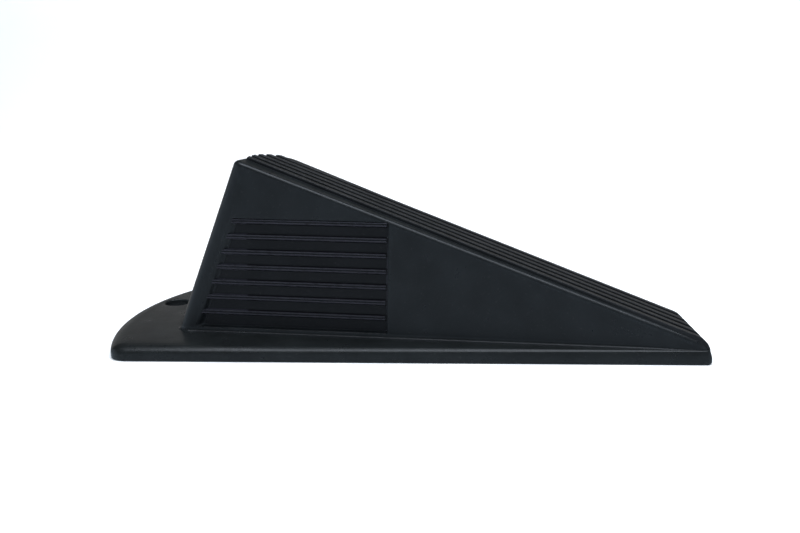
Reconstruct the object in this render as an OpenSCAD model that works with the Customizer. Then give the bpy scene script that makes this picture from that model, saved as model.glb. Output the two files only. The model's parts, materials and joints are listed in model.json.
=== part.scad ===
// Heavy rubber door stop: a long wedge on a flared base plate, with a ribbed
// tread on its slope, finger ribs in its sides and a hanging hole in its heel.
// The heel is at -X, the toe at +X, and the floor is Z = 0.

/* [Overall] */
// Length from the heel to the toe
stop_l = 172; // [165:1:190]
// Height of the sharp corner where the slope would meet the back
crest_h = 52.5; // [50:0.1:54]
// Angle of the slope above the floor, in degrees
slope_angle = 19.8; // [19:0.1:20.4]
// Radius of the rounded nose at the toe
nose_r = 6; // [5.5:0.1:6.5]

/* [Base plate] */
// Width of the base plate across the heel
heel_w = 89; // [85:1:95]
// Width of the base plate across the toe
toe_w = 31; // [31:0.5:36]
// Thickness of the base plate
plate_t = 3.6; // [3.2:0.1:4]
// Radius of the heel's arc, seen from above
heel_arc_r = 73; // [70:1:90]
// Radius of the heel's two corners, seen from above
heel_corner_r = 5.3; // [4.5:0.1:6]
// Radius of the toe's two corners, seen from above
toe_corner_r = 1.5; // [1.3:0.1:3]
// Width of the soft rounding along the plate's upper edge at the heel
heel_round_w = 3.8; // [2:0.1:4]
// Diameter of the hanging hole
hole_d = 8; // [5:0.5:8]
// Distance from the heel's edge to the hanging hole's centre
hole_inset = 8.3; // [8:0.1:9]

/* [Wedge] */
// Distance from the heel's edge to the foot of the back
back_inset = 21.8; // [20:0.1:24]
// Angle that the back leans forward, in degrees
lean_angle = 19.2; // [17:0.1:21]
// How far the middle of the back bows out behind its corners
back_bow = 1.2; // [0:0.1:2]
// Width of the wedge at the foot of its back
foot_rear_w = 54.8; // [54:0.1:58]
// Width that the wedge's foot narrows to at the toe
foot_toe_w = 27.3; // [27:0.1:28]
// Angle that the side walls lean inwards, in degrees
draft_angle = 4.5; // [3:0.1:4.6]
// Radius of the upright edges at the wedge's rear corners
back_r = 4.6; // [3.5:0.1:5]
// Radius of the edge between the back and the slope
top_r = 1.9; // [1.5:0.1:2.5]
// Radius of the long edges beside the slope
edge_r = 1.5; // [1:0.1:2]
// Radius of the fillet round the wedge's foot
foot_fillet_r = 1.2; // [0.8:0.1:1.5]

/* [Tread] */
// Number of lengthwise ribs on the slope
tread_ribs = 5; // [3:2:5]
// Distance between the ribs of the tread
tread_pitch = 5.85; // [5:0.05:5.9]
// Width of each rib of the tread
tread_rib_w = 2.8; // [2:0.1:3]
// Height of the ribs of the tread
tread_rib_h = 0.8; // [0.5:0.1:1.2]
// Thickness of the tread's strip
tread_t = 2; // [1.5:0.1:3]
// Radius of the arc on which the ribs' rear ends lie
tread_arc_r = 53; // [45:1:80]

/* [Side grips] */
// Number of finger ribs on each side
grip_ribs = 7; // [5:1:7]
// Distance between the finger ribs
grip_pitch = 4.26; // [4.1:0.01:4.3]
// Width of each finger rib
grip_rib_w = 0.9; // [0.6:0.1:1.5]
// Depth of the grip's floor below the wall
grip_depth = 1; // [0.6:0.1:1.4]
// Thickness of the grip's own panel
grip_t = 2; // [1.5:0.1:2.5]
// Length of the grip along its lowest line
grip_l = 54.2; // [50:0.1:55]
// Distance from the heel's edge to the grip's front edge
grip_front_inset = 84.7; // [80:0.1:88]
// Rubber left between the slope and the grip's upper front corner
grip_margin = 0.8; // [0.8:0.1:2.5]
// Angle that the finger ribs fall towards the toe, in degrees
grip_fall = 0.2; // [0:0.1:1]

/* [Underside] */
// Depth of the seat for the floor pad
pad_t = 1.6; // [1.2:0.1:1.8]
// Margin between the plate's edge and the floor pad
pad_margin = 8; // [7:0.5:9]
// Distance between the cross ribs of the floor pad
pad_pitch = 5; // [4:0.5:8]
// Width of the cross ribs of the floor pad
pad_rib_w = 3; // [2:0.5:3]

/* [Hidden] */
$fn = 32;

// Gap left round a part that seats in a pocket
seat_gap = 0.1;
// Thickness of a ring that only guides a hull
ring_t = 0.01;
// Longer than any dimension of the door stop
reach = 400;

heel_x = -stop_l / 2;
toe_x = stop_l / 2;
back_x = heel_x + back_inset;
hole_x = heel_x + hole_inset;

// Base plate outline: centres of the arc and of the corners
arc_x = heel_x + heel_arc_r;
corner_arc_r = heel_arc_r - heel_corner_r;
corner_y = heel_w / 2 - heel_corner_r;
corner_angle = asin(corner_y / corner_arc_r);
corner_x = arc_x - corner_arc_r * cos(corner_angle);
heel_steps = 12;
toe_y = toe_w / 2 - toe_corner_r;
// Height of the upright land under the plate's rounded edge, and its lower chamfer
land_h = 1.3;
land_chamfer = 0.2;
round_steps = 6;

// Slopes of the wedge's faces, in millimetres per millimetre
slope_m = tan(slope_angle);
lean_m = tan(lean_angle);
draft_m = tan(draft_angle);
taper_m = (foot_rear_w - foot_toe_w) / 2 / (toe_x - back_x);
taper_angle = atan(taper_m);
// Distance along Y that moves a side wall inwards by one millimetre
wall_k = norm([taper_m, 1, draft_m]);
crest_x = back_x + (crest_h - plate_t) * lean_m;

// Centre of the nose's rounding
nose_x = toe_x - nose_r;
nose_z = slope_z(nose_x) - nose_r / cos(slope_angle);
// The wedge's hull starts this far under the plate's top, then is cut off level
hull_drop = 6;
// Where the long edges' small radius takes over from the back's, from the crest
edge_start = 7;
// Steps in the foot's fillet
fillet_steps = 3;

tread_w = (tread_ribs - 1) * tread_pitch + tread_rib_w;

// The wedge stands over a tongue on the base plate
tongue_l = 80;
tongue_w = 16;
tongue_h = 4;
tongue_x = back_x + 68;

// Grip panel: lowest line and pegs, in the wall's own plane from its front foot
grip_x = heel_x + grip_front_inset;
grip_h = (slope_z(grip_x) - plate_t) / cos(draft_angle) - grip_margin;
grip_foot = 0.8;
// Gap between the finger ribs' ends and the grip's front edge
grip_end_gap = 0.5;
grip_top_rib = grip_h - grip_rib_w / 2;
peg_d = 5;
peg_l = 4;
peg_y = 15;
peg_places = [-12, -36];

pad_front_inset = 13;
pad_corner_r = 4;
pad_web = pad_t / 2;

// Half-width of the wedge's side wall
function wall_y(x, z) = foot_rear_w / 2 - (x - back_x) * taper_m - (z - plate_t) * draft_m;

// Height of the slope's plane
function slope_z(x) = crest_h - (x - crest_x) * slope_m;

// Place of the back's plane
function back_at(z) = back_x + (z - plate_t) * lean_m;

// X of a centre that lies back_r inside the back and top_r under the slope
function crest_in() =
    crest_x + (back_r / cos(lean_angle) - top_r * lean_m / cos(slope_angle)) / (1 + slope_m * lean_m);

// X of the nose's surface at a height
function nose_at(z) = nose_x + sqrt(pow(nose_r, 2) - pow(z - nose_z, 2));

module both_sides() {
    children();
    mirror([0, 1, 0]) children();
}

// Puts its children in the near wall's plane: X to the toe, Y up, Z outwards
module on_wall(x) {
    translate([x, -wall_y(x, plate_t), plate_t])
        rotate([90 - draft_angle, 0, taper_angle])
            children();
}

// Puts its children in the slope's plane: X down to the toe, Z outwards
module on_slope() {
    translate([crest_x, 0, crest_h])
        rotate([0, slope_angle, 0])
            children();
}

// Round puck with a softly rounded upper edge
module puck(r, round_w) {
    round_h = plate_t - land_h;
    rim = [for (i = [0 : round_steps])
        let (a = 90 * i / round_steps) [r - round_w + round_w * cos(a), land_h + round_h * sin(a)]];
    rotate_extrude()
        polygon(concat([[0, 0], [r - land_chamfer, 0], [r, land_chamfer]], rim, [[0, plate_t]]));
}

// Base plate without its holes: a bowed heel, two corners and a narrow toe
module plate_blank() {
    toe_round_w = toe_x - nose_at(plate_t);
    hull() {
        for (i = [-heel_steps : 2 : heel_steps]) {
            a = corner_angle * i / heel_steps;
            translate([arc_x - corner_arc_r * cos(a), corner_arc_r * sin(a), 0])
                puck(heel_corner_r, heel_round_w);
        }
        both_sides()
            translate([toe_x - toe_corner_r, toe_y, 0])
                puck(toe_corner_r, toe_round_w);
    }
}

// Disc whose rim is rounded with radius rim_r
module rounded_disc(r, rim_r) {
    rotate_extrude()
        translate([r - rim_r, 0])
            circle(rim_r);
}

// Disc that shapes the nose at one side wall
module nose_wheel() {
    translate([nose_x, -wall_y(nose_x, nose_z) + edge_r * wall_k, nose_z])
        rotate([90 - draft_angle, 0, taper_angle])
            rounded_disc(nose_r, edge_r);
}

// Outer shape of the wedge, before it is cut off at the base plate
module wedge_shell() {
    foot_z = plate_t - hull_drop;
    foot_x = back_at(foot_z) + back_r / cos(lean_angle);
    edge_x = crest_x + edge_start;
    edge_z = slope_z(edge_x) - edge_r / cos(slope_angle);
    hull() {
        for (t = [-1 : 0.5 : 1]) {
            x = crest_in() + back_bow * pow(t, 2);
            z = slope_z(x) - top_r / cos(slope_angle);
            translate([x, t * (wall_y(x, z) - back_r * wall_k), z])
                rotate([0, slope_angle, 0])
                    rounded_disc(back_r, top_r);
            translate([foot_x + back_bow * pow(t, 2), t * (wall_y(foot_x, foot_z) - back_r * wall_k), foot_z])
                sphere(back_r);
        }
        both_sides() {
            translate([edge_x, wall_y(edge_x, edge_z) - edge_r * wall_k, edge_z])
                sphere(edge_r);
            nose_wheel();
        }
    }
}

// Level outline of the wedge's foot, spread outwards by flare
module foot_ring(z, flare) {
    x_back = back_at(z) + back_r / cos(lean_angle);
    x_toe = nose_at(z) - edge_r;
    translate([0, 0, z]) {
        for (t = [-1 : 0.5 : 1])
            translate([x_back + back_bow * pow(t, 2), t * (wall_y(x_back, z) - back_r * wall_k), 0])
                cylinder(h = ring_t, r = back_r + flare);
        both_sides()
            translate([x_toe, wall_y(x_toe, z) - edge_r * wall_k, 0])
                cylinder(h = ring_t, r = edge_r);
    }
}

// Concave fillet round the wedge's foot, stacked from short sloping bands
module foot_fillet() {
    for (i = [0 : fillet_steps - 1])
        hull() {
            foot_ring(plate_t + fillet_rise(i), fillet_flare(i));
            foot_ring(plate_t + fillet_rise(i + 1), fillet_flare(i + 1));
        }
}

function fillet_rise(i) = foot_fillet_r * (1 - cos(90 * i / fillet_steps));
function fillet_flare(i) = foot_fillet_r * (1 - sin(90 * i / fillet_steps));

// Grip outline in the wall's plane: its rear edge runs parallel to the back
module grip_outline(gap) {
    rear_shift = (grip_h - grip_foot) * lean_m;
    rise = (grip_l - rear_shift) * tan(grip_fall);
    polygon([
        [gap - grip_l, grip_foot + gap],
        [-gap, grip_foot + gap],
        [-gap, grip_h - gap],
        [gap - grip_l + rear_shift, grip_h + rise - gap]
    ]);
}

// Level bars of the finger ribs, to be trimmed by the grip's outline
module grip_bars() {
    for (i = [0 : grip_ribs - 1])
        translate([0, grip_top_rib - i * grip_pitch])
            rotate(-grip_fall)
                translate([-grip_l, -grip_rib_w / 2])
                    square([grip_l - grip_end_gap, grip_rib_w]);
}

// Pocket in the near wall that takes the grip panel and its pegs
module grip_pocket() {
    on_wall(grip_x) {
        pocket_h = grip_depth + grip_t;
        translate([0, 0, -pocket_h])
            linear_extrude(pocket_h + grip_depth)
                grip_outline(0);
        for (x = peg_places)
            translate([x, peg_y, -pocket_h - peg_l - seat_gap])
                cylinder(h = peg_l + 1, d = peg_d + 2 * seat_gap);
    }
}

// Grip panel of the near wall: thin sheet, finger ribs and two locating pegs
module grip_panel() {
    on_wall(grip_x) {
        translate([0, 0, -grip_depth - grip_t]) {
            linear_extrude(grip_t)
                grip_outline(seat_gap);
            for (x = peg_places)
                translate([x, peg_y, -peg_l])
                    cylinder(h = peg_l + 1, d = peg_d);
        }
        translate([0, 0, -grip_depth - grip_t / 2])
            linear_extrude(grip_depth + grip_t / 2)
                intersection() {
                    grip_outline(seat_gap);
                    grip_bars();
                }
    }
}

// Strip under the slope's plane, the full length of the slope
module tread_strip(width) {
    on_slope()
        translate([-reach / 4, -width / 2, -tread_t])
            cube([reach, width, tread_t + tread_rib_h]);
}

// Lengthwise ribs, whose rear ends lie on an arc
module tread_bars() {
    intersection() {
        on_slope()
            for (i = [0 : tread_ribs - 1])
                translate([-reach / 4, i * tread_pitch - tread_w / 2, -tread_t / 2])
                    cube([reach, tread_rib_w, tread_t / 2 + tread_rib_h]);
        translate([crest_x + tread_arc_r, 0, 0]) {
            cylinder(h = reach, r = tread_arc_r, $fn = 96);
            translate([0, -tread_arc_r, 0])
                cube([reach, 2 * tread_arc_r, reach]);
        }
    }
}

// Floor pad outline, which follows the base plate with a margin
module pad_outline(gap) {
    rear_x = corner_x + pad_corner_r;
    front_x = toe_x - pad_front_inset - pad_corner_r;
    side_m = (corner_y + heel_corner_r - toe_y - toe_corner_r) / (toe_x - toe_corner_r - corner_x);
    hull()
        for (x = [rear_x, front_x], side = [-1, 1])
            translate([x, side * (heel_w / 2 - pad_margin - pad_corner_r - (x - corner_x) * side_m)])
                circle(pad_corner_r - gap);
}

// Tongue that locates the wedge on the base plate
module tongue(gap) {
    translate([tongue_x - tongue_l / 2 - gap, -tongue_w / 2 - gap, plate_t - 1])
        cube([tongue_l + 2 * gap, tongue_w + 2 * gap, tongue_h + 1 + gap]);
}

// The wedge: solid rubber, with seats for the tread, the grips and the tongue
module wedge_body() {
    color([0.15, 0.17, 0.19])
        difference() {
            union() {
                intersection() {
                    wedge_shell();
                    translate([-reach / 2, -reach / 2, plate_t])
                        cube(reach);
                }
                foot_fillet();
            }
            tread_strip(tread_w + 2 * seat_gap);
            both_sides()
                grip_pocket();
            tongue(seat_gap);
        }
}

// The base plate, with the hanging hole in its heel
module sole_plate() {
    color([0.13, 0.15, 0.17])
        difference() {
            union() {
                plate_blank();
                tongue(0);
            }
            translate([hole_x, 0, -1])
                cylinder(h = plate_t + 2, d = hole_d);
            translate([0, 0, -1])
                linear_extrude(pad_t + 1)
                    pad_outline(0);
        }
}

// The tread: a strip let into the slope, with its ribs standing proud
module tread_pad() {
    color([0.17, 0.19, 0.21]) {
        intersection() {
            tread_strip(tread_w);
            wedge_shell();
        }
        intersection() {
            tread_bars();
            translate([tread_rib_h * sin(slope_angle), 0, tread_rib_h * cos(slope_angle)])
                wedge_shell();
        }
    }
}

module grip_panel_near() {
    color([0.11, 0.12, 0.14])
        grip_panel();
}

module grip_panel_far() {
    color([0.11, 0.12, 0.14])
        mirror([0, 1, 0])
            grip_panel();
}

// The floor pad: a thin web with cross ribs that touch the floor
module floor_pad() {
    color([0.1, 0.11, 0.12]) {
        translate([0, 0, pad_t - pad_web])
            linear_extrude(pad_web)
                pad_outline(seat_gap);
        linear_extrude(pad_t - pad_web / 2)
            intersection() {
                pad_outline(seat_gap);
                for (x = [corner_x : pad_pitch : toe_x])
                    translate([x, -reach / 2])
                        square([pad_rib_w, reach]);
            }
    }
}

wedge_body();
sole_plate();
tread_pad();
grip_panel_near();
grip_panel_far();
floor_pad();
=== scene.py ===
import json
from math import asin, atan, cos, pi, radians, sin, sqrt, tan

import bmesh
import bpy
import numpy as np
from mathutils import Matrix, Vector

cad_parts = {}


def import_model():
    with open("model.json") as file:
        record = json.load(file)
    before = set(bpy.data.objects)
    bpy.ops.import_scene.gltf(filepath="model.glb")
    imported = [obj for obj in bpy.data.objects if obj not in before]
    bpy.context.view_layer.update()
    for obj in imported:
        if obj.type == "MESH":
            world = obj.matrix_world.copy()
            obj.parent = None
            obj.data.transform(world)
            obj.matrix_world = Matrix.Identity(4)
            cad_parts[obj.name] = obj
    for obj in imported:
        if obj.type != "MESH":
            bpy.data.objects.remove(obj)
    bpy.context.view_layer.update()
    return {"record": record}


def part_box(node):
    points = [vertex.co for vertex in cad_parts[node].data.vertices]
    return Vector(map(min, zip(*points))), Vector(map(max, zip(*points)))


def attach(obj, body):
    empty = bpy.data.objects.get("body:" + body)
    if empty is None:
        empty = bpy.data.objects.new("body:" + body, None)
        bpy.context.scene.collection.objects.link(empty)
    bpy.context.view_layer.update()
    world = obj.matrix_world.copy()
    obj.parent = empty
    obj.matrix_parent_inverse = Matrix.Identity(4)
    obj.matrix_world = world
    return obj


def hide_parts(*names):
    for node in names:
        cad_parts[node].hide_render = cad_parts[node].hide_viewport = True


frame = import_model()
record = frame["record"]

# The meshes are built in millimetres and scaled to metres when a piece is finished.
MM = 0.001


def box_mm(node):
    low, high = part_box(node)
    return low / MM, high / MM


# ---------------------------------------------------------------- sizes
plate_low, plate_high = box_mm("sole_plate")
heel_x, toe_x = plate_low.x, plate_high.x
heel_w = plate_high.y - plate_low.y
plate_t = box_mm("wedge_body")[0].z

bore = next(m for m in record["mounts"] if m["name"] == "hanging_hole")
hole_x = bore["pos_m"][0] / MM
hole_r = bore["dims"]["r_mm"]

# Wedge
CREST_H = 52.78
SLOPE = radians(19.8)
LEAN = radians(19.2)
DRAFT = radians(4.5)
NOSE_R = 6.0
BACK_INSET = 21.8
BACK_BOW = 1.2
FOOT_REAR_W = 54.8
FOOT_TOE_W = 27.3
BACK_R = 4.6
TOP_R = 1.6
EDGE_R = 2.5
NOSE_EDGE_R = 2.1
EDGE_START = 7.0
FOOT_R = 1.2

# Base plate
TOE_W = 31.0
HEEL_ARC_R = 73.0
HEEL_CORNER_R = 5.3
TOE_CORNER_R = 2.0
ROUND_W = 3.6
CROWN_W = 8.2
CROWN_DROP = 0.10
TOE_BEVEL_W = 1.3
TOE_LAND_H = 0.7
LAND_H = 1.8
LAND_CHAMFER = 0.2

# Tread
TREAD_RIBS = 5
TREAD_PITCH = 5.85
TREAD_RIB_W = 2.8
TREAD_RIB_H = 0.8
TREAD_T = 2.0
TREAD_ARC_R = 53.0
TREAD_START = 0.6

# Side grips
GRIP_RIBS = 7
GRIP_PITCH = 4.34
GRIP_RIB_W = 1.12
GRIP_TOP = 0.66
GRIP_VALLEY = 0.28
RIDGE_W = {1: 0.34, -1: 0.48}
GRIP_DEPTH = 1.0
GRIP_T = 2.0
GRIP_L = 53.5
GRIP_RAMP = 1.7
GRIP_FOOT_RAMP = 0.9
GRIP_FRONT_INSET = 84.7
GRIP_MARGIN = 0.59
GRIP_FOOT = 0.9
GRIP_END_GAP = 0.5
GRIP_LIP_R = 0.3
# Shares of the recess's depth where its curved run-out has a point.
GRIP_LEVELS = (1, 0.99, 0.96, 0.9, 0.8, 0.65, 0.5, 0.38)
GRIP_FALL = radians(0.2)
PEG_D, PEG_L, PEG_Y = 5.0, 4.0, 15.0
PEG_PLACES = (-12.0, -36.0)
PEG_TIP = 0.5

# Underside
PAD_T = 1.6
PAD_PITCH = 5.0
PAD_RIB_W = 3.0
PAD_CORNER_R = 4.0

TONGUE_L, TONGUE_W, TONGUE_H = 80.0, 16.0, 4.0
TONGUE_X = 68.0

# Clearance round a seated piece, and the hair's breadth that keeps two faces from coinciding.
SEAT_GAP = 0.06
SLIVER = 0.02

slope_m, lean_m, draft_m = tan(SLOPE), tan(LEAN), tan(DRAFT)
back_x = heel_x + BACK_INSET
crest_x = back_x + (CREST_H - plate_t) * lean_m
taper_m = (FOOT_REAR_W - FOOT_TOE_W) / 2 / (toe_x - back_x)
taper = atan(taper_m)
wall_k = sqrt(taper_m ** 2 + 1 + draft_m ** 2)
tread_w = (TREAD_RIBS - 1) * TREAD_PITCH + TREAD_RIB_W


def wall_y(x, z):
    return FOOT_REAR_W / 2 - (x - back_x) * taper_m - (z - plate_t) * draft_m


def slope_z(x):
    return CREST_H - (x - crest_x) * slope_m


nose_x = toe_x - NOSE_R
nose_z = slope_z(nose_x) - NOSE_R / cos(SLOPE)
grip_x = heel_x + GRIP_FRONT_INSET
grip_h = (slope_z(grip_x) - plate_t) / cos(DRAFT) - GRIP_MARGIN


def nose_at(z):
    return nose_x + sqrt(NOSE_R ** 2 - (z - nose_z) ** 2)


# ---------------------------------------------------------------- mesh helpers
def hull(points):
    """Closed mesh round a cloud of points, with its flat faces whole."""
    bm = bmesh.new()
    for p in points:
        bm.verts.new(p)
    result = bmesh.ops.convex_hull(bm, input=bm.verts)
    inside = result["geom_interior"] + result["geom_unused"]
    spare = [g for g in inside if isinstance(g, bmesh.types.BMVert)]
    bmesh.ops.delete(bm, geom=list(set(spare)), context="VERTS")
    bmesh.ops.remove_doubles(bm, verts=bm.verts, dist=0.002)
    bmesh.ops.dissolve_limit(bm, angle_limit=radians(0.06), verts=bm.verts, edges=bm.edges)
    bmesh.ops.recalc_face_normals(bm, faces=bm.faces)
    return bm


def loft(rings, ladder=False):
    """Closed mesh through rings of the same number of points, with both ends capped.
    A ladder cap joins each point to its mirror image, for an end that isn't flat."""
    bm = bmesh.new()
    rows = [[bm.verts.new(p) for p in ring] for ring in rings]
    count = len(rows[0])
    for low, high in zip(rows, rows[1:]):
        for i in range(count):
            j = (i + 1) % count
            bm.faces.new((low[i], low[j], high[j], high[i]))
    if ladder:
        for i in range(count // 2 - 1):
            bm.faces.new((rows[0][i], rows[0][i + 1], rows[0][count - 2 - i], rows[0][count - 1 - i]))
    else:
        bm.faces.new(rows[0][::-1])
    bm.faces.new(rows[-1])
    bmesh.ops.recalc_face_normals(bm, faces=bm.faces)
    return bm


def block(x0, x1, y0, y1, z0, z1):
    return loft([[(x0, y0, z), (x1, y0, z), (x1, y1, z), (x0, y1, z)] for z in (z0, z1)])


def offset_poly(points, d):
    """Counter-clockwise polygon moved outwards by d."""
    out = []
    for i, b in enumerate(points):
        d1 = (b - points[i - 1]).normalized()
        d2 = (points[(i + 1) % len(points)] - b).normalized()
        n1, n2 = Vector((d1.y, -d1.x)), Vector((d2.y, -d2.x))
        out.append(b + (n1 + n2) * (d / (1 + n1.dot(n2))))
    return out


def round_poly(points, r, steps=6):
    """Counter-clockwise convex polygon with its corners rounded."""
    out = []
    for i, b in enumerate(points):
        d1 = (b - points[i - 1]).normalized()
        d2 = (points[(i + 1) % len(points)] - b).normalized()
        n1, n2 = Vector((d1.y, -d1.x)), Vector((d2.y, -d2.x))
        centre = b - (n1 + n2) * (r / (1 + n1.dot(n2)))
        turn = n1.angle_signed(n2)
        for k in range(steps + 1):
            out.append(centre + r * (Matrix.Rotation(-turn * k / steps, 2) @ n1))
    return out


def lip_rings(outline, depth, lip_r, steps=5, steepest=radians(68), between=()):
    """Rings of a pocket cutter: straight from -depth, then flared by a soft lip at z = 0."""
    levels = [(0.0, -depth)] + [(0.0, z) for z in between]
    for k in range(steps + 1):
        a = steepest * k / steps
        levels.append((lip_r * (1 - cos(a)), -lip_r * (1 - sin(a))))
    over = 2.0
    last = levels[-1]
    levels.append((last[0] + over * sin(steepest), last[1] + over * cos(steepest)))
    return [[(p.x, p.y, z) for p in outline(d, z)] for d, z in levels]


def moved(bm, matrix):
    bmesh.ops.transform(bm, matrix=matrix, verts=bm.verts)
    if matrix.determinant() < 0:
        bmesh.ops.reverse_faces(bm, faces=bm.faces)
    return bm


def make(name, bm):
    mesh = bpy.data.meshes.new(name)
    bm.to_mesh(mesh)
    bm.free()
    obj = bpy.data.objects.new(name, mesh)
    bpy.context.scene.collection.objects.link(obj)
    return obj


def combine(obj, operation, tools):
    """Cuts, keeps or adds each tool mesh in turn, then throws the tools away."""
    for i, bm in enumerate(tools):
        tool = make(f"{obj.name}_tool_{i}", bm)
        mod = obj.modifiers.new("combine", "BOOLEAN")
        mod.operation = operation
        mod.solver = "EXACT"
        mod.object = tool
        graph = bpy.context.evaluated_depsgraph_get()
        mesh = bpy.data.meshes.new_from_object(obj.evaluated_get(graph))
        obj.modifiers.clear()
        old = obj.data
        obj.data = mesh
        bpy.data.meshes.remove(old)
        data = tool.data
        bpy.data.objects.remove(tool)
        bpy.data.meshes.remove(data)
    return obj


def finish_piece(obj, node, material, sharp=38.0):
    """Cleans the mesh, scales it to metres and gives it its normals, its rounded-edge values (worn rubber,
    and on the grip a painted highlight) and finish.
    """
    bm = bmesh.new()
    bm.from_mesh(obj.data)
    bmesh.ops.remove_doubles(bm, verts=bm.verts, dist=0.0015)
    bmesh.ops.dissolve_degenerate(bm, edges=bm.edges, dist=0.0015)
    big = [f for f in bm.faces if len(f.verts) > 4]
    bmesh.ops.triangulate(bm, faces=big, quad_method="BEAUTY", ngon_method="BEAUTY")
    bmesh.ops.scale(bm, vec=(MM, MM, MM), verts=bm.verts)
    bmesh.ops.recalc_face_normals(bm, faces=bm.faces)
    # Values on rounded edges: paler worn rubber, and on the grip a painted highlight.
    layer = bm.loops.layers.float.new("edge_wear_and_highlight")
    narrow = 0.9 * MM
    for f in bm.faces:
        # A small face between convex neighbours lies on a rounded edge.
        turn = sum(e.calc_face_angle_signed(0.0) for e in f.edges if len(e.link_faces) == 2)
        width = f.calc_area() / max(e.calc_length() for e in f.edges)
        wear_and_highlight = min(max(turn, 0.0) / radians(16), 1.0) if width < narrow else 0.0
        for loop in f.loops:
            loop[layer] = wear_and_highlight
    bm.to_mesh(obj.data)
    bm.free()
    obj.data.name = obj.name
    obj.data.shade_smooth()
    obj.data.set_sharp_from_angle(angle=radians(sharp))
    mod = obj.modifiers.new("even_normals", "WEIGHTED_NORMAL")
    mod.keep_sharp = True
    mod.weight = 60
    obj.data.materials.clear()
    obj.data.materials.append(material)
    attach(obj, "root")
    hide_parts(node)
    return obj


def wall_matrix(side):
    """Plane of a side wall at the grip's front foot: X to the toe, Y up the wall, Z outwards."""
    near = (
        Matrix.Translation((grip_x, -wall_y(grip_x, plate_t), plate_t))
        @ Matrix.Rotation(taper, 4, "Z")
        @ Matrix.Rotation(pi / 2 - DRAFT, 4, "X")
    )
    return near if side < 0 else Matrix.Diagonal((1, -1, 1, 1)) @ near


SLOPE_FRAME = Matrix.Translation((crest_x, 0, CREST_H)) @ Matrix.Rotation(SLOPE, 4, "Y")


# ---------------------------------------------------------------- wedge
def torus_points(big, small, azimuths, rims):
    a, b = np.meshgrid(azimuths, rims)
    a, b = a.ravel(), b.ravel()
    reach = big + small * np.cos(b)
    return np.stack([reach * np.cos(a), reach * np.sin(a), small * np.sin(b)], 1)


def placed(points, matrix):
    m = np.array(matrix)
    return points @ m[:3, :3].T + m[:3, 3]


def wedge_shell():
    """Outer shape of the wedge, down to a little below the plate's top."""
    full = np.linspace(0, 2 * pi, 97)[:-1]
    rims = np.linspace(0, 2 * pi, 49)[:-1]
    back_only = pi + np.linspace(-0.22, 0.22, 8)
    dx = (BACK_R / cos(LEAN) - lean_m * TOP_R / cos(SLOPE)) / (1 + slope_m * lean_m)
    foot_z = plate_t - 6
    foot_x = back_x + (foot_z - plate_t) * lean_m + BACK_R / cos(LEAN)
    cloud = []
    for t in np.linspace(-1, 1, 33):
        azimuths = full if abs(t) == 1 else back_only
        x = crest_x + dx + BACK_BOW * t * t
        z = slope_z(x) - TOP_R / cos(SLOPE)
        y = t * (wall_y(x, z) - BACK_R * wall_k)
        place = Matrix.Translation((x, y, z)) @ Matrix.Rotation(SLOPE, 4, "Y")
        cloud.append(placed(torus_points(BACK_R - TOP_R, TOP_R, azimuths, rims), place))
        y = t * (wall_y(foot_x, foot_z) - BACK_R * wall_k)
        place = Matrix.Translation((foot_x + BACK_BOW * t * t, y, foot_z))
        cloud.append(placed(torus_points(0, BACK_R, azimuths, rims), place))
    edge_x = crest_x + EDGE_START
    edge_z = slope_z(edge_x) - EDGE_R / cos(SLOPE)
    for side in (-1, 1):
        y = side * (wall_y(edge_x, edge_z) - EDGE_R * wall_k)
        cloud.append(placed(torus_points(0, EDGE_R, full, rims), Matrix.Translation((edge_x, y, edge_z))))
        wheel = placed(
            torus_points(NOSE_R - NOSE_EDGE_R, NOSE_EDGE_R, full, rims),
            Matrix.Translation((nose_x, -wall_y(nose_x, nose_z) + NOSE_EDGE_R * wall_k, nose_z))
            @ Matrix.Rotation(taper, 4, "Z")
            @ Matrix.Rotation(pi / 2 - DRAFT, 4, "X"),
        )
        cloud.append(wheel * [1, -side, 1])
    return hull(np.vstack(cloud))


def foot_share(x):
    """How much of the foot's fillet is left: it narrows with the ledge it stands on at the toe."""
    return min(max((toe_x - 3 - x) / 13, 0.05), 1)


def wedge_outer():
    bm = wedge_shell()
    steps = 8
    levels = [plate_t + FOOT_R * (1 - cos(radians(90 * k / steps))) for k in range(1, steps + 1)]

    def slice_at(point, normal, clear=False):
        bmesh.ops.bisect_plane(
            bm, geom=bm.verts[:] + bm.edges[:] + bm.faces[:], dist=1e-5,
            plane_co=point, plane_no=normal, clear_inner=clear,
        )

    slice_at((0, 0, plate_t), (0, 0, 1), clear=True)
    for z in levels:
        slice_at((0, 0, z), (0, 0, 1))
    x = back_x + 8
    while x < nose_x + 2:
        slice_at((x, 0, 0), (1, 0, 0))
        x += 4
    bm.normal_update()
    moves = []
    for v in bm.verts:
        rise = v.co.z - plate_t
        if rise < FOOT_R - 1e-4:
            lift = 1 - rise / FOOT_R
            flare = FOOT_R * (1 - sqrt(max(1 - lift * lift, 0)))
            n = Vector((v.normal.x, v.normal.y, 0)).normalized()
            moves.append((v, n * flare * foot_share(v.co.x) * (1 - abs(n.x) * 0.7)))
    for v, move in moves:
        v.co += move
    rim = [e for e in bm.edges if e.is_boundary]
    bmesh.ops.edgeloop_fill(bm, edges=rim)
    bmesh.ops.recalc_face_normals(bm, faces=bm.faces)
    return bm


def grip_ramp(z):
    """Share of its run-out that a recess edge has at a depth: from floor to wall it rises in an S."""
    t = min(max(1 + z / GRIP_DEPTH, 0), 1)
    return 0.5 + asin(2 * t - 1) / pi


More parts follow.
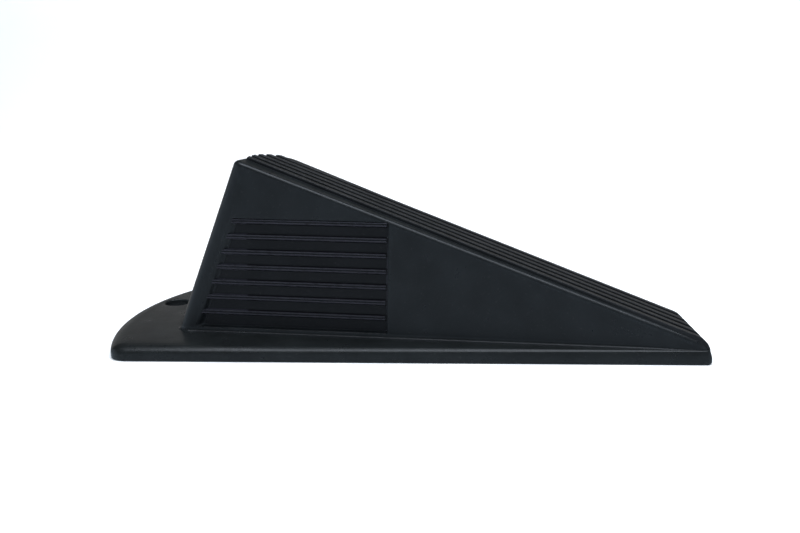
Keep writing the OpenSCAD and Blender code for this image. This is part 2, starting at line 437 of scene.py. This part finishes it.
def grip_outline(gap, z=-GRIP_DEPTH):
    """Outline of the grip in the wall's plane at a depth, moved inwards by gap."""
    rear = -GRIP_L - GRIP_RAMP * grip_ramp(z)
    foot = GRIP_FOOT + GRIP_FOOT_RAMP * (1 - grip_ramp(z))
    rise = (GRIP_L - (grip_h - GRIP_FOOT) * lean_m) * tan(GRIP_FALL)
    corners = [
        Vector((rear + (foot - GRIP_FOOT) * lean_m, foot)),
        Vector((0, foot)),
        Vector((0, grip_h)),
        Vector((rear + (grip_h - GRIP_FOOT) * lean_m, grip_h + rise)),
    ]
    outline = round_poly(offset_poly(corners, -gap), max(0.5 - gap, 0.15))
    # The recess never cuts into the fillet below it.
    return [Vector((p.x, max(p.y, foot + max(gap, 0)))) for p in outline]


def peg_rings(r, bottom, top, taper_end=0.0, count=32):
    levels = [(r - taper_end, bottom), (r, bottom + taper_end), (r, top)]
    return [
        [(q * cos(2 * pi * i / count), q * sin(2 * pi * i / count), z) for i in range(count)]
        for q, z in (levels if taper_end else levels[1:])
    ]


def wedge_cutters():
    cutters = []
    half = tread_w / 2 + SEAT_GAP / 3
    cutters.append(moved(block(-100, 300, -half, half, -TREAD_T, TREAD_T), SLOPE_FRAME))
    depth = GRIP_DEPTH + GRIP_T
    for side in (-1, 1):
        frame_here = wall_matrix(side)
        pocket = lip_rings(
            lambda d, z: grip_outline(-d, z), depth, GRIP_LIP_R,
            between=[-GRIP_DEPTH * q for q in GRIP_LEVELS],
        )
        cutters.append(moved(loft(pocket), frame_here))
        for x in PEG_PLACES:
            hole = loft(peg_rings(PEG_D / 2 + SEAT_GAP, -depth - PEG_L - SEAT_GAP, 1 - depth))
            cutters.append(moved(hole, frame_here @ Matrix.Translation((x, PEG_Y, 0))))
    x0 = back_x + TONGUE_X - TONGUE_L / 2
    cutters.append(
        block(
            x0 - SEAT_GAP, x0 + TONGUE_L + SEAT_GAP,
            -TONGUE_W / 2 - SEAT_GAP, TONGUE_W / 2 + SEAT_GAP,
            plate_t - 1, plate_t + TONGUE_H + SEAT_GAP,
        )
    )
    return cutters


# ---------------------------------------------------------------- base plate
def heel_points(azimuths):
    """Outline points of the plate's edge round a heel corner: a wide rounding, and towards the
    sides a gentle crown that starts further in."""
    slope = 2 * CROWN_DROP / (CROWN_W - ROUND_W)
    edge = [(LAND_CHAMFER, 0.0), (0.0, LAND_CHAMFER)]
    for t in np.linspace(0, pi / 2, 19):
        edge.append((ROUND_W * (1 - cos(t)), LAND_H + (plate_t - LAND_H) * sin(t)))
    points = []
    for a in azimuths:
        share = sin(a) ** 2
        for inset, z in edge:
            fall = (CROWN_DROP + slope * (ROUND_W - inset)) * share if z > LAND_H - 0.01 else 0
            reach = HEEL_CORNER_R - inset
            points.append((reach * cos(a), reach * sin(a), z - fall))
        for inset in np.linspace(ROUND_W, CROWN_W, 7)[1:]:
            fall = CROWN_DROP * ((CROWN_W - inset) / (CROWN_W - ROUND_W)) ** 2 * share
            points.append(
                ((HEEL_CORNER_R - ROUND_W) * cos(a), (HEEL_CORNER_R - inset) * sin(a), plate_t - fall)
            )
    return np.array(points)


def toe_points(azimuths):
    """Outline points of the plate's edge at a toe corner: bevelled at the side and carrying on
    the wedge's nose at the front."""
    edge = []
    for t in np.linspace(0, pi / 2, 7):
        low = 1 - sin(t)
        edge.append((TOE_LAND_H * low * 0.8, LAND_CHAMFER * low, TOE_LAND_H * (1 - cos(t))))
    for s in np.linspace(0, 1, 15):
        z = TOE_LAND_H + (plate_t - TOE_LAND_H) * s
        edge.append((toe_x - nose_at(max(z, nose_z)), TOE_BEVEL_W * s ** 1.3, z))
    return np.array(
        [
            ((TOE_CORNER_R - in_x) * cos(a), (TOE_CORNER_R - in_y) * sin(a), z)
            for in_x, in_y, z in edge
            for a in azimuths
        ]
    )


def plate_outer():
    reach = HEEL_ARC_R - HEEL_CORNER_R
    widest = asin((heel_w / 2 - HEEL_CORNER_R) / reach)
    arc_x = heel_x + HEEL_ARC_R
    corner_turn = np.linspace(radians(74), pi - widest, 41)
    toe_turn = np.linspace(0, radians(86), 31)
    cloud = []
    for t in np.linspace(-1, 1, 61):
        a = widest * t
        azimuths = t * corner_turn if abs(t) == 1 else pi - a + np.linspace(-0.03, 0.03, 3)
        centre = [arc_x - reach * cos(a), reach * sin(a), 0]
        cloud.append(heel_points(azimuths) + centre)
    for side in (-1, 1):
        centre = [toe_x - TOE_CORNER_R, side * (TOE_W / 2 - TOE_CORNER_R), 0]
        cloud.append(toe_points(side * toe_turn) + centre)
    return hull(np.vstack(cloud))


def circle_outline(r, count=96):
    return lambda d, z: [
        Vector(((r + d) * cos(2 * pi * i / count), (r + d) * sin(2 * pi * i / count))) for i in range(count)
    ]


pad_low, pad_high = box_mm("floor_pad")


def pad_outline(gap, steps=10):
    """Outline of the floor pad, which narrows to the toe as the plate does."""
    reach = HEEL_ARC_R - HEEL_CORNER_R
    corner_x = heel_x + HEEL_ARC_R - reach * cos(asin((heel_w / 2 - HEEL_CORNER_R) / reach))
    side_m = (heel_w - TOE_W) / 2 / (toe_x - TOE_CORNER_R - corner_x)
    rear, front = pad_low.x - SEAT_GAP, pad_high.x + SEAT_GAP
    wide = pad_high.y + SEAT_GAP
    slant = sqrt(1 + side_m ** 2) - 1

    def at(x):
        return wide - (x - rear - PAD_CORNER_R) * side_m + PAD_CORNER_R * slant

    corners = [
        Vector((rear, -at(rear))), Vector((front, -at(front))),
        Vector((front, at(front))), Vector((rear, at(rear))),
    ]
    return round_poly(offset_poly(corners, -gap), PAD_CORNER_R - gap, steps)


def plate_piece():
    obj = make("base_plate", plate_outer())
    x0 = back_x + TONGUE_X - TONGUE_L / 2
    tongue = round_poly(
        [
            Vector((x0, -TONGUE_W / 2)), Vector((x0 + TONGUE_L, -TONGUE_W / 2)),
            Vector((x0 + TONGUE_L, TONGUE_W / 2)), Vector((x0, TONGUE_W / 2)),
        ],
        1.0,
    )
    top = plate_t + TONGUE_H
    tongue_bm = loft([[(p.x, p.y, z) for p in tongue] for z in (plate_t - 1, top)])
    combine(obj, "UNION", [tongue_bm])
    place = Matrix.Translation((hole_x, 0, 0))
    upper = loft(lip_rings(circle_outline(hole_r), plate_t + 1, 0.45, steps=7))
    lower = loft(lip_rings(circle_outline(hole_r), plate_t - 1, 0.3, steps=5))
    recess = loft([[(p.x, p.y, z) for p in pad_outline(0)] for z in (-1, PAD_T)])
    combine(
        obj, "DIFFERENCE",
        [
            moved(upper, place @ Matrix.Translation((0, 0, plate_t))),
            moved(lower, place @ Matrix.Rotation(pi, 4, "X")),
            recess,
        ],
    )
    return obj


# ---------------------------------------------------------------- ribs
def bar_profile(width, top, bottom, r, flare=0.0, steps=5, sides=()):
    """Cross-section of a rib: (across, up) points, rounded at both upper edges."""
    half = width / 2
    pts = [(-half - flare, bottom)]
    pts += [(-half - flare * (top - z) / (top - bottom), z) for z in sides]
    pts += [
        (-half + r * (1 - cos(pi / 2 * k / steps)), top - r * (1 - sin(pi / 2 * k / steps)))
        for k in range(steps + 1)
    ]
    pts += [(-a, b) for a, b in reversed(pts)]
    return pts


def end_rings(profile, bottom, top, r, steps=4):
    """(how far in from the rib's end, profile) pairs that round the end of a rib."""
    out = []
    for k in range(steps + 1):
        a = pi / 2 * k / steps
        inset = r * (1 - sin(a))
        drop = r * (1 - cos(a))
        out.append((drop, [(y, min(z, top - inset) if z > bottom else z) for y, z in profile]))
    return out


def tread_bar(y0):
    """One lengthwise rib: starts on the arc, runs down the slope and dies out round the nose."""
    bottom = -TREAD_T / 2
    r = 0.3
    profile = bar_profile(TREAD_RIB_W, TREAD_RIB_H, bottom, r)
    tangent = (nose_x + NOSE_R * sin(SLOPE) - crest_x) / cos(SLOPE)
    rings = []

    def start_at(y):
        x = crest_x + TREAD_START + TREAD_ARC_R - sqrt(TREAD_ARC_R ** 2 - y * y)
        return (x - crest_x) / cos(SLOPE)

    for drop, shape in end_rings(profile, bottom, TREAD_RIB_H, r):
        rings.append([(start_at(y0 + y) + drop, y0 + y, z) for y, z in shape])
    for u in np.linspace(8, tangent, 36):
        rings.append([(u, y0 + y, z) for y, z in profile])
    bend = 50
    for k in range(1, 15):
        a = radians(bend * k / 14)
        share = 1 - (k / 14) ** 2
        ring = []
        for y, z in profile:
            up = min(z, TREAD_RIB_H * share - 0.02) if z > bottom else z
            reach = NOSE_R + up
            ring.append((tangent + reach * sin(a), y0 + y, reach * cos(a) - NOSE_R))
        rings.append(ring)
    return moved(loft(rings), SLOPE_FRAME)


def tread_piece():
    half = tread_w / 2 - SLIVER
    strip = block(-100, 300, -half, half, -TREAD_T + SLIVER, TREAD_T)
    obj = make("tread_strip", moved(strip, SLOPE_FRAME))
    combine(obj, "INTERSECT", [wedge_shell()])
    bars = [tread_bar((i - (TREAD_RIBS - 1) / 2) * TREAD_PITCH) for i in range(TREAD_RIBS)]
    return combine(obj, "UNION", bars)


def grip_bar(y0, width, top, bottom, r, short=0.0, flare=0.0):
    """One long bar of the grip, in the wall's plane: its rear end follows the grip's rear edge."""
    levels = [-GRIP_DEPTH * q for q in GRIP_LEVELS + (0.25,)]
    sides = [z for z in levels if bottom + 0.02 < z < top - r - 0.02]
    profile = bar_profile(width, top, bottom, r, flare=flare, sides=sides)

    most = grip_h - 1.5 * SEAT_GAP - y0
    profile = [(min(y, most), z) for y, z in profile]

    def place(x, shape):
        return [(x, y0 + y - x * tan(GRIP_FALL), z) for y, z in shape]

    def rear(y):
        return -GRIP_L + (y - GRIP_FOOT) * lean_m + SEAT_GAP + short

    y_rear = y0 + (GRIP_L - (y0 - GRIP_FOOT) * lean_m) * tan(GRIP_FALL)
    rings = [[(rear(y_rear + y) - GRIP_RAMP * grip_ramp(min(z, -0.03)), y_rear + y, z) for y, z in profile]]
    front = -GRIP_END_GAP - short
    for x in np.linspace(-40, front - 1, 12):
        rings.append(place(x, profile))
    for drop, shape in reversed(end_rings(profile, bottom, top, r)):
        rings.append(place(front - drop, shape))
    return loft(rings, ladder=True)


def grip_rib(i):
    """One finger rib: a low bar that carries two fine ridges along its edges."""
    y0 = grip_h - GRIP_TOP - i * GRIP_PITCH
    bars = [grip_bar(y0, GRIP_RIB_W, -GRIP_VALLEY, -GRIP_DEPTH - 0.5, 0.06, flare=0.55)]
    for side, width in RIDGE_W.items():
        across = side * ((GRIP_RIB_W - width) / 2 - 0.015)
        bars.append(grip_bar(y0 + across, width, 0.0, -GRIP_VALLEY - 0.14, width * 0.45, short=0.04))
    return bars


def grip_piece(name, side):
    back = -GRIP_DEPTH - GRIP_T
    outline = grip_outline(SEAT_GAP)
    sheet = [[(p.x, p.y, z) for p in outline] for z in (back + SLIVER, -GRIP_DEPTH)]
    obj = make(name, loft(sheet))
    tools = [bar for i in range(GRIP_RIBS) for bar in grip_rib(i)]
    for x in PEG_PLACES:
        peg = loft(peg_rings(PEG_D / 2, back - PEG_L, back + PEG_TIP, taper_end=PEG_TIP))
        tools.append(moved(peg, Matrix.Translation((x, PEG_Y, 0))))
    combine(obj, "UNION", tools)
    matrix = wall_matrix(side)
    obj.data.transform(matrix)
    if matrix.determinant() < 0:
        obj.data.flip_normals()
    return obj


def pad_piece():
    web_bottom = PAD_T / 2
    outline = pad_outline(SEAT_GAP)
    obj = make("anti_slip_pad", loft([[(p.x, p.y, z) for p in outline] for z in (-1, PAD_T - SLIVER)]))
    cut = []
    reach = HEEL_ARC_R - HEEL_CORNER_R
    first = heel_x + HEEL_ARC_R - reach * cos(asin((heel_w / 2 - HEEL_CORNER_R) / reach))
    groove = PAD_PITCH - PAD_RIB_W
    x = first - groove
    while x < pad_high.x + PAD_PITCH:
        r = 0.4
        levels = [(groove / 2 + 2.4, -2.0), (groove / 2 + r, -0.0)]
        levels += [
            (groove / 2 + r * (1 - sin(radians(a))), r * (1 - cos(radians(a)))) for a in (20, 40, 60, 80)
        ]
        levels += [(groove / 2, r), (groove / 2, web_bottom)]
        mid = x + groove / 2
        ring = [(mid - w, z) for w, z in levels] + [(mid + w, z) for w, z in reversed(levels)]
        cut.append(loft([[(px, y, z) for px, z in ring] for y in (-60, 60)]))
        x += PAD_PITCH
    combine(obj, "DIFFERENCE", [block(-200, 200, -100, 100, -5, 0)] + cut)
    return obj


# ---------------------------------------------------------------- finishes
def rubber(name, colour, roughness, specular, grain, mottle, dust, wear_and_highlight_gain=2.2, wear_and_highlight_from=0.4):
    """Satin rubber: fine grain, cloudy sheen, slightly paler worn edges and a trace of dust; with a high
    gain the paler edges are a painted highlight.
    """
    mat = bpy.data.materials.new(name)
    mat.use_nodes = True
    nodes, links = mat.node_tree.nodes, mat.node_tree.links
    shader = nodes["Principled BSDF"]
    coords = nodes.new("ShaderNodeTexCoord")

    def noise(scale, detail, rough=0.55, stretch=None):
        n = nodes.new("ShaderNodeTexNoise")
        n.inputs["Scale"].default_value = scale
        n.inputs["Detail"].default_value = detail
        n.inputs["Roughness"].default_value = rough
        if stretch:
            m = nodes.new("ShaderNodeMapping")
            m.inputs["Scale"].default_value = stretch
            links.new(coords.outputs["Object"], m.inputs["Vector"])
            links.new(m.outputs["Vector"], n.inputs["Vector"])
        else:
            links.new(coords.outputs["Object"], n.inputs["Vector"])
        return n.outputs["Fac"]

    def ranged(value, low, high, to_low, to_high):
        m = nodes.new("ShaderNodeMapRange")
        m.inputs["From Min"].default_value = low
        m.inputs["From Max"].default_value = high
        m.inputs["To Min"].default_value = to_low
        m.inputs["To Max"].default_value = to_high
        links.new(value, m.inputs["Value"])
        return m.outputs["Result"]

    def math(operation, a, b):
        m = nodes.new("ShaderNodeMath")
        m.operation = operation
        for socket, value in zip(m.inputs, (a, b)):
            if isinstance(value, (int, float)):
                socket.default_value = value
            else:
                links.new(value, socket)
        return m.outputs["Value"]

    def blend(factor, a, b):
        m = nodes.new("ShaderNodeMix")
        m.data_type = "RGBA"
        links.new(factor, m.inputs["Factor"])
        for key, value in (("A", a), ("B", b)):
            socket = [s for s in m.inputs if s.name == key and s.type == "RGBA"][0]
            if isinstance(value, tuple):
                socket.default_value = value
            else:
                links.new(value, socket)
        return [s for s in m.outputs if s.type == "RGBA"][0]

    dark = tuple(c * 0.8 for c in colour) + (1,)
    light = tuple(c * 1.25 for c in colour) + (1,)
    clouds = noise(95, 4)
    base = blend(ranged(clouds, 0.35, 0.65, 0, 1), dark, light)
    # Paler rounded edges: worn rubber, and with a high gain (the grip) a painted highlight along the edges.
    wear_and_highlight = nodes.new("ShaderNodeAttribute")
    wear_and_highlight.attribute_name = "edge_wear_and_highlight"
    rubbed_and_highlight = math("MULTIPLY", wear_and_highlight.outputs["Fac"], ranged(noise(900, 5), wear_and_highlight_from, wear_and_highlight_from + 0.28, 0, 1))
    base = blend(math("MULTIPLY", rubbed_and_highlight, 0.6), base, tuple(c * wear_and_highlight_gain for c in colour) + (1,))
    specks = ranged(noise(1500, 2), 0.66, 0.72, 0, dust)
    base = blend(specks, base, (0.09, 0.09, 0.085, 1))
    links.new(base, shader.inputs["Base Color"])
    sheen = ranged(noise(160, 3), 0.3, 0.7, roughness - mottle, roughness + mottle)
    links.new(math("SUBTRACT", sheen, math("MULTIPLY", rubbed_and_highlight, 0.05)), shader.inputs["Roughness"])
    shader.inputs["Specular IOR Level"].default_value = specular
    height = math("ADD", noise(2600, 3), math("MULTIPLY", noise(500, 2), 0.8))
    bump = nodes.new("ShaderNodeBump")
    bump.inputs["Strength"].default_value = grain
    bump.inputs["Distance"].default_value = 0.00005
    links.new(height, bump.inputs["Height"])
    links.new(bump.outputs["Normal"], shader.inputs["Normal"])
    return mat


WEDGE = rubber("wedge_satin_rubber", (0.0072, 0.0088, 0.0100), 0.31, 0.36, 0.35, 0.04, 0.10)
PLATE = rubber("plate_satin_rubber", (0.0076, 0.0090, 0.0096), 0.31, 0.36, 0.35, 0.04, 0.12)
TREAD = rubber("tread_rubber", (0.0080, 0.0088, 0.0098), 0.38, 0.34, 0.45, 0.05, 0.14)
# A gain of 10 lightens the grip's rib edges as a painted highlight.
# The grip's rubber is darker than the wedge's: painted shade for the recess it sits in.
GRIP = rubber("grip_rubber", (0.0044, 0.0044, 0.0056), 0.38, 0.29, 0.40, 0.04, 0.10, 10.0, 0.2)
PAD = rubber("pad_rubber", (0.0060, 0.0064, 0.0070), 0.62, 0.30, 0.60, 0.06, 0.20)

wedge = make("wedge", wedge_outer())
combine(wedge, "DIFFERENCE", wedge_cutters())
finish_piece(wedge, "wedge_body", WEDGE)
finish_piece(plate_piece(), "sole_plate", PLATE)
finish_piece(tread_piece(), "tread_pad", TREAD)
finish_piece(grip_piece("finger_grip_near", -1), "grip_panel_near", GRIP)
finish_piece(grip_piece("finger_grip_far", 1), "grip_panel_far", GRIP)
finish_piece(pad_piece(), "floor_pad", PAD)


# ---------------------------------------------------------------- studio
# The paper lies just under the part, so that the two never share a plane.
FLOOR_GAP = 0.00003

# Camera: place in metres, then turns and focal length, fitted to the door stop's outline.
CAMERA_PLACE = (0.03023, -0.17606, 0.05692)
CAMERA_YAW, CAMERA_PITCH, CAMERA_ROLL = radians(10.274), radians(11.778), radians(0.609)
CAMERA_LENS, CAMERA_SENSOR = 26.58, 36

# The dark surroundings that the satin rubber mirrors: cards behind and above the part.
CARD_Y, CARD_HALF, CARD_SPLIT = 0.7, 2.5, -0.12
CARD_LOW, CARD_MID, CARD_TOP, CARD_FRONT = -0.2, 0.27, 1.4, -1.8


def studio_floor():
    """Pale floor that sweeps up into a backdrop behind the door stop."""
    half, front, back, bend, top = 3.0, -2.0, 0.9, 0.35, 1.6
    line = [(front, -FLOOR_GAP), (back, -FLOOR_GAP)]
    for k in range(1, 13):
        a = pi / 2 * k / 12
        line.append((back + bend * sin(a), bend * (1 - cos(a)) - FLOOR_GAP))
    line.append((back + bend, top))
    bm = bmesh.new()
    rows = [[bm.verts.new((x, y, z)) for y, z in line] for x in (-half, half)]
    for i in range(len(line) - 1):
        bm.faces.new((rows[0][i], rows[1][i], rows[1][i + 1], rows[0][i + 1]))
    mesh = bpy.data.meshes.new("studio_floor")
    bm.to_mesh(mesh)
    bm.free()
    obj = bpy.data.objects.new("studio_floor", mesh)
    bpy.context.scene.collection.objects.link(obj)
    mesh.shade_smooth()
    mat = bpy.data.materials.new("studio_paper")
    mat.use_nodes = True
    shader = mat.node_tree.nodes["Principled BSDF"]
    shader.inputs["Base Color"].default_value = (0.88, 0.88, 0.88, 1)
    shader.inputs["Roughness"].default_value = 0.9
    shader.inputs["Specular IOR Level"].default_value = 0.1
    # Seen from below, the paper lets the underside show.
    nodes, links = mat.node_tree.nodes, mat.node_tree.links
    side = nodes.new("ShaderNodeNewGeometry")
    clear = nodes.new("ShaderNodeBsdfTransparent")
    mix = nodes.new("ShaderNodeMixShader")
    links.new(side.outputs["Backfacing"], mix.inputs[0])
    links.new(shader.outputs["BSDF"], mix.inputs[1])
    links.new(clear.outputs["BSDF"], mix.inputs[2])
    links.new(mix.outputs["Shader"], nodes["Material Output"].inputs["Surface"])
    mesh.materials.append(mat)
    obj.visible_glossy = False


def softbox(name, place, aim, width, height, power, mirrored, tint=(1, 1, 1)):
    """Soft light; a light that isn't mirrored only brightens surfaces and leaves no reflection."""
    light = bpy.data.lights.new(name, "AREA")
    light.shape = "RECTANGLE"
    light.size, light.size_y = width, height
    light.energy = power
    light.color = tint
    obj = bpy.data.objects.new(name, light)
    obj.location = place
    obj.rotation_euler = (Vector(aim) - Vector(place)).to_track_quat("-Z", "Y").to_euler()
    obj.visible_glossy = mirrored
    bpy.context.scene.collection.objects.link(obj)


def upright(x0, x1, z0, z1):
    """Corners of a card that stands behind the door stop."""
    return [(x0, CARD_Y, z0), (x1, CARD_Y, z0), (x1, CARD_Y, z1), (x0, CARD_Y, z1)]


def card(name, corners, level):
    """Large grey card beside the door stop: only its reflection is seen."""
    bm = bmesh.new()
    bm.faces.new([bm.verts.new(p) for p in corners])
    mesh = bpy.data.meshes.new(name)
    bm.to_mesh(mesh)
    bm.free()
    mat = bpy.data.materials.new(name)
    mat.use_nodes = True
    shader = mat.node_tree.nodes["Principled BSDF"]
    shader.inputs["Base Color"].default_value = (0, 0, 0, 1)
    shader.inputs["Specular IOR Level"].default_value = 0
    shader.inputs["Emission Color"].default_value = (1, 1, 1, 1)
    shader.inputs["Emission Strength"].default_value = level
    mesh.materials.append(mat)
    obj = bpy.data.objects.new(name, mesh)
    bpy.context.scene.collection.objects.link(obj)
    obj.visible_camera = False
    obj.visible_diffuse = False
    obj.visible_shadow = False


def camera():
    yaw, pitch, roll = CAMERA_YAW, CAMERA_PITCH, CAMERA_ROLL
    aim = Vector((-sin(yaw) * cos(pitch), cos(yaw) * cos(pitch), -sin(pitch)))
    right = Vector((cos(yaw), sin(yaw), 0))
    up = right.cross(aim)
    x_axis = right * cos(roll) + up * sin(roll)
    y_axis = up * cos(roll) - right * sin(roll)
    matrix = Matrix((x_axis, y_axis, -aim)).transposed().to_4x4()
    matrix.translation = Vector(CAMERA_PLACE)
    data = bpy.data.cameras.new("camera")
    data.sensor_width = CAMERA_SENSOR
    data.lens = CAMERA_LENS
    data.clip_start = 0.005
    obj = bpy.data.objects.new("camera", data)
    obj.matrix_world = matrix
    bpy.context.scene.collection.objects.link(obj)
    bpy.context.scene.camera = obj


def world(colour):
    w = bpy.data.worlds.new("studio_air")
    w.use_nodes = True
    w.node_tree.nodes["Background"].inputs["Color"].default_value = colour + (1,)
    bpy.context.scene.world = w


studio_floor()
world((0.36, 0.43, 0.51))
card("low_card", upright(-CARD_HALF, CARD_SPLIT, CARD_LOW, CARD_MID), 0.34)
card("right_card", upright(CARD_SPLIT, CARD_HALF, CARD_LOW, CARD_MID), 0.24)
card("dark_card", upright(-CARD_HALF, CARD_HALF, CARD_MID, CARD_TOP), 0.02)
card(
    "ceiling_card",
    [
        (-CARD_HALF, CARD_Y, CARD_TOP), (CARD_HALF, CARD_Y, CARD_TOP),
        (CARD_HALF, CARD_FRONT, CARD_TOP), (-CARD_HALF, CARD_FRONT, CARD_TOP),
    ],
    0.06,
)
softbox("floor_light", (0.0, -0.3, 1.0), (0, 0, 0), 1.2, 0.8, 4, False)
softbox("backdrop_light", (0.0, 0.2, 1.4), (0, 1.1, 0.1), 4.0, 0.4, 30, False)
softbox("edge_light", (0.22, 0.11, 0.9), (0.22, 0, 0), 1.34, 0.44, 6.4, True, (0.82, 0.89, 1.0))
camera()
bpy.context.scene.view_settings.view_transform = "Standard"
